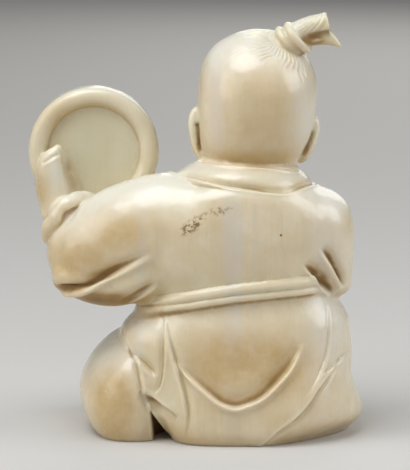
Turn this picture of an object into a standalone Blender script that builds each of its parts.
"""A small carved ivory figurine: a seated child in a belted robe, holding up a round hand drum.

Frame: metres, +Z up, the back of the figure towards -Y and its right hand towards +X.
The origin lies in the middle of the flat underside.
The pose is laid out in shares of the figure's height, about a hundredth of it each.
"""

import math

import bmesh
import bpy
import numpy as np
from mathutils import Euler, Matrix, Vector

# Driving dimensions, in metres
FIGURE_HEIGHT = 0.054
DRUM_DIAMETER = 0.0168
DRUM_THICKNESS = 0.0042
DRUM_RIM_WIDTH = 0.0024
DRUM_RECESS_DEPTH = 0.0012
CARVING_GRAIN = 0.00036
BODY_SOFTNESS = 0.0018
TRIANGLE_BUDGET = 8800

FIGURE_SHARES = 100.7
SHARE = FIGURE_HEIGHT / FIGURE_SHARES

IVORY_COLOUR = (0.80, 0.72, 0.57, 1.0)
IVORY_ROUGHNESS = 0.38

# Outlines from the lowest up: height, left, right, back, front, squareness of the left and of the right end
ROBE = (
    (-8, -9.0, 26.0, -18.0, 21, 4.2, 1.5),
    (0, -11.6, 29.6, -21.6, 22, 4.4, 1.6),
    (2.5, -13.2, 32.0, -23.2, 23, 4.4, 1.75),
    (5, -15.0, 33.0, -23.8, 23, 4.2, 2.0),
    (9, -17.6, 32.0, -23.6, 22, 4.0, 2.3),
    (13, -19.2, 30.8, -22.8, 20.5, 3.6, 2.5),
    (18, -21.0, 30.4, -21.6, 18.5, 3.2, 2.5),
    (24, -22.6, 30.2, -20.6, 16, 2.9, 2.5),
    (28, -20.4, 29.8, -19.8, 14.5, 2.7, 2.5),
    (31, -18.2, 28.4, -18.8, 13.5, 2.6, 2.5),
    (35, -17.0, 26.0, -18.2, 13, 3.2, 2.5),
    (42, -19.6, 26.5, -19.4, 12.5, 4.2, 2.6),
    (50, -19.0, 27.0, -20.4, 11.5, 4.2, 2.6),
    (56, -14.0, 25.5, -19.8, 10.5, 3.2, 2.4),
    (60, -10.5, 21.6, -17.4, 9, 2.4, 2.2),
    (63, -6, 17.5, -13.0, 8, 2.2, 2.0),
)
WAIST = (-16.4, 26.0, -18.2, 13.0, 2.6, 2.5)
COLLAR = (
    (57.4, -10.0, 22.6, -17.6, 9.4, 2.1, 2.1),
    (60.4, -10.4, 22.8, -18.6, 10.0, 2.1, 2.1),
    (61.4, -9.8, 22.2, -18.4, 9.6, 2.1, 2.1),
    (63.4, -6.6, 19.4, -16.0, 8.4, 2.1, 2.1),
    (64.8, -4.4, 17.6, -14.0, 7, 2.1, 2.1),
    (65.4, -2.8, 16.2, -12.6, 6, 2.1, 2.1),
)
COLLAR_LEAN = -0.05
HEAD = (
    (58, -2, 16.5, -9, 5, 2.2, 2.2),
    (63, -3.4, 17.9, -12.0, 7, 2.2, 2.2),
    (66, -4.4, 19.4, -13.3, 12.2, 2.2, 2.2),
    (68.5, -4.9, 20.5, -14.0, 14.4, 2.3, 2.3),
    (72, -5.3, 21.6, -14.8, 15.4, 2.3, 2.3),
    (78, -5.6, 22.7, -15.8, 15.6, 2.25, 2.25),
    (84, -5.4, 22.8, -15.6, 14.8, 2.15, 2.15),
    (88.4, -4.2, 21.2, -13.8, 12.8, 2.1, 2.1),
    (92, -1.4, 18.8, -10.2, 9.2, 2.0, 2.0),
    (94.6, 3.0, 15.0, -5.6, 4.6, 2.0, 2.0),
    (95.6, 7.0, 11.2, -2.0, 1.0, 2.0, 2.0),
)
KNEE = (
    (-8, -25.6, -9, -14, 18, 2.2, 2.2),
    (0, -28.6, -9, -16.4, 20, 2.3, 2.2),
    (3, -31.2, -8, -18.0, 22, 2.3, 2.2),
    (7, -33.0, -7, -18.8, 23, 2.2, 2.2),
    (11.5, -33.5, -7, -18.8, 23, 2.2, 2.2),
    (16, -32.2, -8, -17.6, 21.5, 2.2, 2.2),
    (20, -29.2, -10, -14.8, 18.5, 2.1, 2.1),
    (23, -25.6, -14, -9.6, 13, 2.0, 2.0),
    (24.2, -22, -18, -4, 6, 2.0, 2.0),
)
RIGHT_UPPER_ARM = (
    (33.4, 20, 29.8, -8.5, 4, 2.2, 2.3),
    (35.0, 16, 31.2, -11.4, 7, 2.3, 2.5),
    (40, 12, 31.5, -14.0, 8.5, 2.3, 2.5),
    (48, 10, 31.8, -15.2, 8.5, 2.3, 2.4),
    (54, 9, 30.9, -14.8, 8, 2.2, 2.2),
    (57.6, 9, 27.8, -12.8, 6.5, 2.1, 2.1),
    (60.2, 11, 21.6, -8, 2.5, 2.0, 2.0),
)

# Limbs from end to end: x, y, z, half width, half height
LEFT_SLEEVE = (
    (-2, -7.0, 51.6, 12.0, 10.2),
    (-12, -7.2, 49.8, 12.2, 12.0),
    (-22, -6.4, 46.6, 12.0, 12.6),
    (-29, -4.4, 44.4, 11.2, 12.2),
    (-32.4, -2.4, 44.4, 10.0, 10.4),
)
SLEEVE_POCKET = (
    (-10, -6.6, 39.6, 10.0, 6.6),
    (-19, -6.8, 37.4, 10.6, 6.4),
    (-27, -5.6, 36.8, 10.6, 5.9),
    (-34.2, -3.6, 38.2, 9.2, 5.0),
)
LEFT_FOREARM = ((-31.5, 0, 45.5, 8.6, 9.2), (-34.2, 2.2, 50, 7.6, 7.6), (-36.0, 3.4, 53.4, 6.6, 6.6))
RIGHT_FOREARM = ((23, -1, 42, 8, 8.4), (23.0, 6, 37.6, 7.2, 7.4), (19.2, 12.4, 32.0, 6.4, 6.4))
LEFT_SHIN = ((-18, 15, 7.5, 8, 7.5), (-7, 20, 5.4, 6.4, 6.0), (2, 22, 4.2, 5.0, 4.6))
RIGHT_SHIN = ((20, 14, 7.5, 8, 7.5), (9, 21, 5.6, 6.4, 6.0), (-1, 24.5, 4.2, 4.8, 4.4))
LEFT_PALM = ((-38.4, 4.4, 54, 4.6, 4.2), (-40.4, 6.0, 59, 4.3, 4.6), (-42.2, 8.0, 63.6, 2.6, 4.4))
LAPEL_LEFT = ((-5.6, 2.5, 61.6), (-3.6, 7.0, 58.8), (0.4, 10.4, 53.5), (5.5, 12.2, 46), (10.5, 12.8, 38))
LAPEL_RIGHT = ((18.2, 2.0, 61.2), (16.4, 6.5, 58.2), (12.4, 10.0, 53), (7.0, 11.8, 46), (2.5, 12.6, 38))
DRUM_GRIP = Vector((-42.7, 8.5, 61.0))
GRIP_DIRECTION = Vector((-0.939, 0, -0.344))
DRUM_BULGE = 0.8
THUMB = (
    (-37.8, 0.6, 54, 4.5, 3.0),
    (-39.2, 0.3, 58.4, 4.0, 2.4),
    (-39.7, 0, 62.0, 2.9, 1.9),
    (-38.5, 0, 64.8, 1.3, 1.2),
)
GRIPPING_FINGER = ((-43.4, -2.8, 1.6, 1.7), (-43.0, 0.6, 1.6, 1.6), (-38.4, 1.4, 1.3, 1.4))
RESTING_FINGER = ((0, 17.0, 25.6, 1.5, 1.6), (0.2, 18.6, 21.8, 1.4, 1.5), (0.4, 21.6, 17.4, 1.1, 1.2))
RESTING_THUMB = ((13.0, 15.4, 27, 1.6, 1.6), (10.6, 16.6, 23.8, 1.4, 1.5), (9.8, 18.0, 20.6, 1.1, 1.2))
HEAD_AXIS = (8.6, 0, 0)
HEAD_TURN = 9
NOSE = ((0, 14.6, 79.5, 0.9, 0.8), (0, 15.8, 76.0, 1.1, 1.1), (0, 16.2, 74.4, 1.5, 1.4))
TIE_DIRECTION = Vector((0.82, -0.12, 0.56))
TUFT = ((12, -4, 90, 3.2, 3.2), (17, -4.7, 94.4, 2.3, 2.4), (20.6, -5.0, 96.9, 2.4, 2.7), (24.4, -5.1, 98.0, 2.8, 2.6))
LOOSE_STRAND = ((18.4, -4.8, 94.6, 2.2, 2.2), (22.6, -5.2, 95.2, 2.0, 2.0), (27.2, -5.4, 92.8, 0.7, 0.8))
LEFT_TAIL = ((4.0, 14.0, 32, 1.5, 1.0), (1.8, 15.3, 27, 2.1, 1.0), (0.6, 17.4, 21.5, 2.4, 1.0))
RIGHT_TAIL = ((5.4, 14.0, 32, 1.5, 1.0), (8.0, 15.1, 27.5, 2.1, 1.0), (9.6, 16.8, 23.0, 2.4, 1.0))

# Turned hems and turns of cord: centre, direction of the axis, radius to the middle of the cord, its half thickness
LEFT_CUFF = ((-36.0, 3.2, 53.2), (-0.52, 0.18, 0.84), 6.6, 1.25)
RIGHT_CUFF = ((18.0, 14.2, 30.6), (-0.46, 0.68, -0.57), 5.8, 1.2)
TIE_TURNS = (((15.2, -4.6, 93.2), TIE_DIRECTION, 2.9, 1.4), ((17.1, -4.8, 94.3), TIE_DIRECTION, 3.3, 1.5))

# Part of each fold's length over which it runs out at either end
FOLD_TAPER = 0.32

# Folds: softness of the upper side, softness of the lower side, depth, lip, points of (across, height) from end to
# end. The upper side is on the left of the path's direction.
BACK_FOLDS = {
    "elbow": (2.3, 0.9, 2.4, 0.8, (
        (-37.8, 35.6), (-34.4, 36.2), (-30.3, 38.5), (-26.7, 40.6), (-22.8, 42.6), (-19.1, 44.5), (-15.6, 45.8),
    )),
    "underarm": (1.3, 0.6, 0.6, 0.2, ((-22.4, 33.0), (-21.0, 33.8), (-18.5, 35.8), (-15.9, 37.7))),
    "sleeve_outer": (1.3, 0.7, 1.5, 0.5, ((23.9, 46.1), (25.8, 43.4), (27.2, 40.9), (28.5, 38.3), (29.6, 36.0))),
    "sleeve_inner": (1.6, 0.7, 1.9, 0.6, ((20.0, 42.6), (22.2, 39.9), (23.8, 37.6), (25.4, 35.8), (27.2, 34.2))),
    "seat": (2.0, 0.7, 1.6, 0.9, (
        (-11.9, 22.9), (-10.0, 20.2), (-7.8, 17.6), (-4.7, 14.9), (-1.9, 12.6), (0.4, 11.0), (3.3, 10.2),
        (6.1, 10.9), (8.8, 12.1), (11.2, 14.0), (13.4, 16.2), (15.5, 18.5), (17.1, 21.1), (18.9, 25.0),
    )),
    "flap": (0.8, 0.5, 0.8, 0.3, (
        (-15.9, 12.0), (-14.9, 13.5), (-14.1, 16.6), (-13.8, 20.7), (-13.7, 25.3), (-13.6, 33),
    )),
    "hip": (1.1, 0.6, 0.9, 0.3, ((-21.4, 21.4), (-19.0, 19.4), (-17.1, 17.7), (-15.7, 16.2))),
    "long": (1.1, 0.5, 0.9, 0.4, (
        (-13.2, 32.0), (-12.2, 25.4), (-11.2, 21.5), (-10.0, 17.5), (-8.8, 13.7), (-8.1, 10.1), (-7.8, 7.0),
        (-8.2, 1.4),
    )),
    "pocket": (1.9, 0.6, 1.6, 0.3, ((-10.5, 6.8), (-13.4, 8.6), (-16.2, 10.5), (-18.8, 12.8))),
    "knee_edge": (1.1, 0.5, 1.0, 0.2, (
        (-16.8, 7.2), (-17.6, 9.3), (-18.5, 12.1), (-19.2, 15.3), (-20.0, 18.5), (-21.7, 21.5), (-22.8, 24.6),
    )),
    "coat_edge": (0.8, 0.5, 0.6, 0.3, (
        (19.6, 11.2), (22.2, 15.0), (23.5, 17.7), (24.6, 20.4), (25.3, 24.0), (25.5, 27.9), (25.2, 33.0),
    )),
    "hem": (0.9, 0.5, 0.8, 0.3, (
        (27.4, 18.2), (25.2, 15.4), (22.9, 12.7), (20.6, 9.5), (17.9, 6.8), (14.9, 4.7), (12.3, 2.6), (8.0, -1.6),
    )),
    "hem_branch": (0.7, 0.5, 0.6, 0.2, ((24.0, 16.6), (25.2, 17.4), (27.7, 18.8), (29.8, 20.0))),
    "collar": (0.9, 0.5, 0.8, 0.4, (
        (-10.4, 61.8), (-5.0, 61.5), (2.0, 60.6), (8.2, 60.2), (14.4, 60.1), (18.2, 60.0), (22.0, 60.2),
    )),
    "nape": (0.6, 0.6, 0.5, 0.0, ((-6.5, 64.6), (-4.5, 65.0), (1, 65.2), (5.5, 65.0), (13.0, 64.1), (18.4, 62.9))),
}
FRONT_FOLDS = {
    "skirt": (0.8, 0.8, 1.0, 0.4, ((-4.0, 31), (-4.6, 26), (-7.0, 20), (-11, 15))),
    "lap_left": (0.9, 1.2, 1.1, 0.4, ((-8.6, 30), (0, 25.4), (9, 22.4), (18, 22.0))),
    "lap_right": (1.2, 0.9, 1.1, 0.4, ((-14, 24.6), (-8, 27.0), (-2.6, 30.4))),
    "trouser_left": (0.9, 1.1, 1.0, 0.3, ((9, 16), (15, 13.4), (22, 13.8), (27, 16.6))),
    "trouser_right": (1.1, 0.9, 1.0, 0.3, ((-25, 15), (-20, 12.6), (-14, 12.4), (-8, 15))),
    "sleeve_left": (1.0, 1.3, 1.2, 0.5, ((14, 42.0), (20, 39.4), (27, 38.6), (33, 40.4))),
    "sleeve_right": (1.2, 1.0, 1.1, 0.4, ((-29, 46.5), (-25, 43), (-20.4, 41.8))),
}
FACE_FOLDS = {
    "mouth": (0.45, 0.45, 0.8, 0.35, ((-3.0, 71.2), (-1.5, 70.4), (0, 70.5), (1.5, 70.4), (3.0, 71.2))),
    "chin": (0.7, 0.7, 0.35, 0.0, ((-1.8, 68.7), (0, 68.3), (1.8, 68.7))),
    "right_lid": (0.4, 0.5, 0.7, 0.3, ((-7.4, 76.9), (-6.2, 77.9), (-4.6, 78.1), (-3.0, 77.0))),
    "left_lid": (0.4, 0.5, 0.7, 0.3, ((3.0, 77.0), (4.6, 78.1), (6.2, 77.9), (7.4, 76.9))),
}


def smooth_path(points, count):
    """A Catmull-Rom curve through the points, sampled evenly in its parameter."""
    points = np.array(points, float)
    ends = 2 * points[[0, -1]] - points[[1, -2]]
    knots = np.vstack([ends[0], points, ends[1]])
    spans = len(points) - 1
    samples = []
    for t in np.linspace(0, spans, count):
        i = min(int(t), spans - 1)
        u = t - i
        a, b, c, d = knots[i : i + 4]
        cubic = 3 * b - a - 3 * c + d
        samples.append(0.5 * (2 * b + (c - a) * u + (2 * a - 5 * b + 4 * c - d) * u**2 + cubic * u**3))
    return np.array(samples)


def loft(form, rings):
    """Joins rings of points into one closed skin with flat ends."""
    loops = [[form.verts.new(p) for p in ring] for ring in rings]
    for low, high in zip(loops, loops[1:]):
        for i in range(len(low)):
            j = (i + 1) % len(low)
            form.faces.new((low[i], low[j], high[j], high[i]))
    form.faces.new(loops[0][::-1])
    form.faces.new(loops[-1])


def ball(form, centre, radii, turn=(0, 0, 0), base=Matrix.Identity(4)):
    """An ellipsoid, turned by angles in degrees, in the frame of its base."""
    turned = Euler([math.radians(a) for a in turn]).to_matrix().to_4x4()
    matrix = base @ Matrix.Translation(centre) @ turned @ Matrix.Diagonal((*radii, 1))
    bmesh.ops.create_icosphere(form, subdivisions=4, radius=1, matrix=matrix)


def limb(form, stations, up=(0, 0, 1), sides=24, closed=False, base=Matrix.Identity(4)):
    """A tube with round ends along stations of (x, y, z, half width, half height)."""
    line = smooth_path(stations, 6 * len(stations))
    centres, half = line[:, :3], np.maximum(line[:, 3:], 0.05)
    along = np.gradient(centres, axis=0)
    along /= np.linalg.norm(along, axis=1)[:, None]
    if not closed:
        cap = np.radians((25, 50, 72, 88))
        for end, sign in ((0, -1), (-1, 1)):
            tips = centres[end] + sign * np.outer(np.sin(cap) * half[end].min(), along[end])
            sizes = np.outer(np.cos(cap), half[end])
            ways = np.repeat(along[[end]], len(cap), axis=0)
            if sign > 0:
                centres = np.vstack([centres, tips])
                half = np.vstack([half, sizes])
                along = np.vstack([along, ways])
            else:
                centres = np.vstack([tips[::-1], centres])
                half = np.vstack([sizes[::-1], half])
                along = np.vstack([ways, along])
    across = np.cross(along, np.array(up, float))
    across /= np.linalg.norm(across, axis=1)[:, None]
    rise = np.cross(across, along)
    angles = np.linspace(0, 2 * math.pi, sides, endpoint=False)
    rings = []
    for centre, size, side, top in zip(centres, half, across, rise):
        ring = centre + np.outer(np.cos(angles) * size[0], side) + np.outer(np.sin(angles) * size[1], top)
        rings.append([base @ Vector(p) for p in ring])
    loft(form, rings)


def outline(level, sides=64):
    """A horizontal outline: a rounded box whose left and right ends have their own squareness."""
    height, left, right, back, front, square_left, square_right = level
    angles = np.linspace(0, 2 * math.pi, sides, endpoint=False)
    across, deep = np.cos(angles), np.sin(angles)
    power = 2 / np.where(across < 0, square_left, square_right)
    x = (left + right) / 2 + (right - left) / 2 * np.sign(across) * np.abs(across) ** power
    y = (back + front) / 2 + (front - back) / 2 * np.sign(deep) * np.abs(deep) ** power
    return np.column_stack([x, y, np.full(sides, height)])


def stack(form, levels, lean=0.0):
    """A closed form through horizontal outlines, from the lowest up. lean is their rise along X."""
    middle = (levels[0][1] + levels[0][2]) / 2
    rings = [outline(level) for level in smooth_path(levels, 8 * len(levels))]
    for ring in rings:
        ring[:, 2] += lean * (ring[:, 0] - middle)
    loft(form, rings)


def ring_limb(form, centre, normal, radius, thickness):
    """A round hem or a turn of cord: a torus about the normal."""
    turned = Vector((0, 0, 1)).rotation_difference(Vector(normal)).to_matrix().to_4x4()
    matrix = Matrix.Translation(centre) @ turned
    stations = []
    for angle in np.linspace(0, 2 * math.pi, 25):
        point = matrix @ Vector((radius * math.cos(angle), radius * math.sin(angle), 0))
        stations.append((*point, thickness, thickness))
    limb(form, stations, up=normal, sides=12, closed=True)


def turn_profile(form, profile, matrix, sides=64):
    """A turned form about the matrix's Z axis, from a profile of (radius, height)."""
    angles = np.linspace(0, 2 * math.pi, sides, endpoint=False)
    rings = []
    for radius, height in profile:
        radius = max(radius, 0.02)
        rings.append([matrix @ Vector((radius * math.cos(a), radius * math.sin(a), height)) for a in angles])
    loft(form, rings)


def head_frame():
    """The frame of the face: X across it, Y out of it, Z up."""
    return Matrix.Translation(HEAD_AXIS) @ Matrix.Rotation(math.radians(HEAD_TURN), 4, "Z")


def belt_line(x):
    """Height of the groove along the sash: it rises towards the right hand and levels out."""
    return 34.9 + 0.157 * x - 0.0025 * x**2


def hoop(form, drop, swell, radius):
    """A cord round the waist that follows the robe, drop below the groove of the sash."""
    left, right, back, front, *squareness = WAIST
    path = outline((0, left - swell, right + swell, back - swell, front + swell, *squareness), 72)
    stations = [(x, y, belt_line(x) - drop, radius, radius) for x, y, _ in path]
    limb(form, stations + stations[:1], sides=12, closed=True)


def model_body(form):
    """The main masses: robe, sleeves, legs and head."""
    stack(form, ROBE)
    stack(form, HEAD)
    stack(form, KNEE)
    stack(form, RIGHT_UPPER_ARM)
    limb(form, LEFT_SLEEVE)
    limb(form, SLEEVE_POCKET)
    limb(form, LEFT_FOREARM, up=(1, 0, 0))
    limb(form, RIGHT_FOREARM)
    ball(form, (19.6, 8.5, 11.0), (12.2, 15.6, 12.0))
    limb(form, LEFT_SHIN)
    limb(form, RIGHT_SHIN)
    face = head_frame()
    ball(form, (0, 12.0, 67.6), (4.4, 3.6, 3.2), base=face)
    for side in (-1, 1):
        ball(form, (side * 5.0, 10.8, 72.4), (5.0, 5.0, 5.2), base=face)


def model_dress(form):
    """The collar, the lapels, the knotted sash, the cuffs and the shoes."""
    stack(form, COLLAR, COLLAR_LEAN)
    hoop(form, -0.8, 0.1, 1.05)
    hoop(form, 1.2, 0.5, 1.35)
    for lapel, lift in ((LAPEL_RIGHT, 0.0), (LAPEL_LEFT, 0.5)):
        limb(form, [(x, y + lift, z, 2.8, 0.9) for x, y, z in lapel], up=(0, 1, 0))
    ball(form, (4.6, 14.0, 34.0), (2.8, 2.0, 2.5))
    limb(form, LEFT_TAIL, up=(0, 1, 0))
    limb(form, RIGHT_TAIL, up=(0, 1, 0))
    ring_limb(form, *LEFT_CUFF)
    ring_limb(form, *RIGHT_CUFF)
    ball(form, (6.4, 24.0, 3.8), (6.4, 4.4, 3.9), (0, 0, -14))
    ball(form, (-5.8, 26.6, 3.6), (6.6, 4.2, 3.8), (0, 0, 12))


def model_head(form):
    """The ears and the calm, full face."""
    face = head_frame()
    ball(form, (-5.6, 0.8, 71.2), (1.9, 3.2, 6.0), (0, 4, 30))
    ball(form, (21.3, 1.8, 70.2), (1.9, 3.0, 5.4), (0, 8, -30))
    limb(form, NOSE, up=(0, 1, 0), base=face)
    ball(form, (0, 15.0, 71.2), (2.0, 0.9, 0.7), base=face)
    ball(form, (0, 14.6, 69.8), (1.6, 0.9, 0.7), base=face)
    for side in (-1, 1):
        ball(form, (side * 5.2, 12.9, 77.4), (2.7, 1.8, 1.4), base=face)
        ball(form, (side * 1.5, 15.3, 74.0), (0.9, 1.0, 0.8), base=face)
        brow = ((2.6, 14.9, 81.8), (5.4, 14.0, 82.6), (8.6, 11.8, 81.2))
        limb(form, [(side * x, y, z, 0.6, 0.6) for x, y, z in brow], up=(0, 1, 0), base=face)


def model_topknot(form):
    """The tied tuft of hair: two turns of cord and a fan of strands, cut square, with one loose strand."""
    for turn in TIE_TURNS:
        ring_limb(form, *turn)
    limb(form, TUFT, up=(0, 1, 0))
    limb(form, LOOSE_STRAND, up=(0, 1, 0))


def model_drum(form):
    """The round hand drum, a turned dish with a rolled rim open towards the back, and the hand that grips it."""
    radius = DRUM_DIAMETER / 2 / SHARE
    half = DRUM_THICKNESS / 2 / SHARE
    roll = DRUM_RIM_WIDTH / 2 / SHARE
    floor = half - DRUM_RECESS_DEPTH / SHARE
    centre = DRUM_GRIP - GRIP_DIRECTION * (radius - roll)
    profile = [(0, floor), (radius - 2 * roll, floor)]
    for angle in np.radians(np.linspace(180, 0, 9)):
        profile.append((radius - roll + roll * math.cos(angle), half - roll + roll * math.sin(angle)))
    for angle in np.radians(np.linspace(0, -90, 7)):
        profile.append((radius - roll + roll * math.cos(angle), roll - half + roll * math.sin(angle)))
    profile.append((0, -half - DRUM_BULGE))
    turn_profile(form, profile, Matrix.Translation(centre) @ Matrix.Rotation(math.radians(90), 4, "X"))
    limb(form, LEFT_PALM, up=(0, 1, 0))
    back = DRUM_GRIP.y - half
    limb(form, [(x, back + y - 0.8, z, *size) for x, y, z, *size in THUMB], up=(0, 1, 0))
    front = DRUM_GRIP.y + half
    for i in range(4):
        z = DRUM_GRIP.z - 3.8 + 2.9 * i
        limb(form, [(x, front + y, z + 0.2 * i, *size) for x, y, *size in GRIPPING_FINGER])


def model_right_hand(form):
    """The right hand, laid over the right knee."""
    ball(form, (16.4, 15.8, 26.6), (4.8, 3.4, 4.6), (24, -16, 0))
    for i in range(4):
        shift = 12.8 + 2.5 * i
        limb(form, [(shift + x, *rest) for x, *rest in RESTING_FINGER], up=(0, 1, 0))
    limb(form, RESTING_THUMB, up=(0, 1, 0))


def skin(name, form, grain, softness):
    """One closed skin round all the forms, smoothed over a distance of softness."""
    rough = bpy.data.meshes.new(name + "_rough")
    form.to_mesh(rough)
    form.free()
    obj = bpy.data.objects.new(name, rough)
    bpy.context.scene.collection.objects.link(obj)
    remesh = obj.modifiers.new("Skin", "REMESH")
    remesh.mode = "VOXEL"
    remesh.voxel_size = grain
    soften = obj.modifiers.new("Soften", "SMOOTH")
    soften.factor = 0.5
    soften.iterations = max(1, round((softness / grain) ** 2))
    mesh = bpy.data.meshes.new_from_object(obj.evaluated_get(bpy.context.evaluated_depsgraph_get()))
    bpy.data.objects.remove(obj)
    bpy.data.meshes.remove(rough)
    mesh.name = name
    return mesh


def surface(mesh):
    """The vertices and their normals, as two arrays."""
    points = np.empty(3 * len(mesh.vertices), np.float32)
    normals = np.empty_like(points)
    mesh.vertices.foreach_get("co", points)
    mesh.vertex_normals.foreach_get("vector", normals)
    return points.reshape(-1, 3).astype(float), normals.reshape(-1, 3).astype(float)


def carve(mesh, folds, frame, reach):
    """Cuts folds into the side that faces the frame's -Y, down to the depth reach along its Y."""
    points, normals = surface(mesh)
    turn = np.array(frame.to_3x3())
    local = (points - np.array(frame.translation)) @ turn
    facing = np.clip(-(normals @ turn)[:, 1] / 0.35, 0, 1) * np.clip((reach - local[:, 1]) / 2, 0, 1)
    near = np.flatnonzero(facing > 0)
    spot = local[near][:, [0, 2]]
    shift = np.zeros(len(points))
    for upper, lower, depth, lip, path in folds.values():
        line = smooth_path(path, 8 * len(path))
        best, along, side = np.full(len(near), 1e9), np.zeros(len(near)), np.zeros(len(near))
        for i, (start, end) in enumerate(zip(line, line[1:])):
            step = end - start
            t = np.clip((spot - start) @ step / (step @ step), 0, 1)
            gap = spot - start - t[:, None] * step
            far = np.hypot(*gap.T)
            closer = far < best
            best[closer] = far[closer]
            along[closer] = ((i + t) / (len(line) - 1))[closer]
            side[closer] = (step[0] * gap[:, 1] - step[1] * gap[:, 0])[closer]
        width = np.where(side > 0, upper, lower)
        taper = np.sin(math.pi / 2 * np.clip(np.minimum(along, 1 - along) / FOLD_TAPER, 0, 1))
        groove = depth * np.exp(-((best / width) ** 2))
        ridge = lip * np.exp(-(((best - 1.7 * lower) / (1.3 * lower)) ** 2)) * (side <= 0)
        shift[near] += (ridge - groove) * taper * facing[near]
    points += normals * shift[:, None]
    mesh.vertices.foreach_set("co", points.astype(np.float32).ravel())
    mesh.update()


def cut_flat(mesh):
    """Cuts the form off at the plane it stands on and closes the cut."""
    work = bmesh.new()
    work.from_mesh(mesh)
    everything = work.verts[:] + work.edges[:] + work.faces[:]
    cut = bmesh.ops.bisect_plane(work, geom=everything, plane_co=(0, 0, 0), plane_no=(0, 0, -1), clear_outer=True)
    rim = [e for e in cut["geom_cut"] if isinstance(e, bmesh.types.BMEdge)]
    bmesh.ops.triangle_fill(work, edges=rim, use_beauty=True, normal=(0, 0, -1))
    work.to_mesh(mesh)
    work.free()


def ivory():
    """The plain material of the whole carving."""
    material = bpy.data.materials.new("ivory")
    material.use_nodes = True
    shader = material.node_tree.nodes["Principled BSDF"]
    shader.inputs["Base Color"].default_value = IVORY_COLOUR
    shader.inputs["Roughness"].default_value = IVORY_ROUGHNESS
    shader.inputs["Metallic"].default_value = 0.0
    return material


def main():
    for obj in list(bpy.data.objects):
        bpy.data.objects.remove(obj)
    grain = CARVING_GRAIN / SHARE
    masses = bmesh.new()
    model_body(masses)
    body = skin("body", masses, grain, BODY_SOFTNESS / SHARE)
    whole = bmesh.new()
    whole.from_mesh(body)
    for model in (model_dress, model_head, model_topknot, model_drum, model_right_hand):
        model(whole)
    mesh = skin("figurine", whole, grain, 1.5 * grain)
    half_turn = Matrix.Rotation(math.pi, 4, "Z")
    carve(mesh, BACK_FOLDS, Matrix.Identity(4), 4)
    carve(mesh, FRONT_FOLDS, half_turn, 0)
    carve(mesh, FACE_FOLDS, head_frame() @ half_turn, -8)
    cut_flat(mesh)
    top = max(v.co.z for v in mesh.vertices)
    mesh.transform(Matrix.Scale(FIGURE_HEIGHT / top, 4))
    mesh.materials.append(ivory())
    obj = bpy.data.objects.new("figurine", mesh)
    bpy.context.scene.collection.objects.link(obj)
    mesh.calc_loop_triangles()
    facets = obj.modifiers.new("Facets", "DECIMATE")
    facets.ratio = TRIANGLE_BUDGET / len(mesh.loop_triangles)


main()
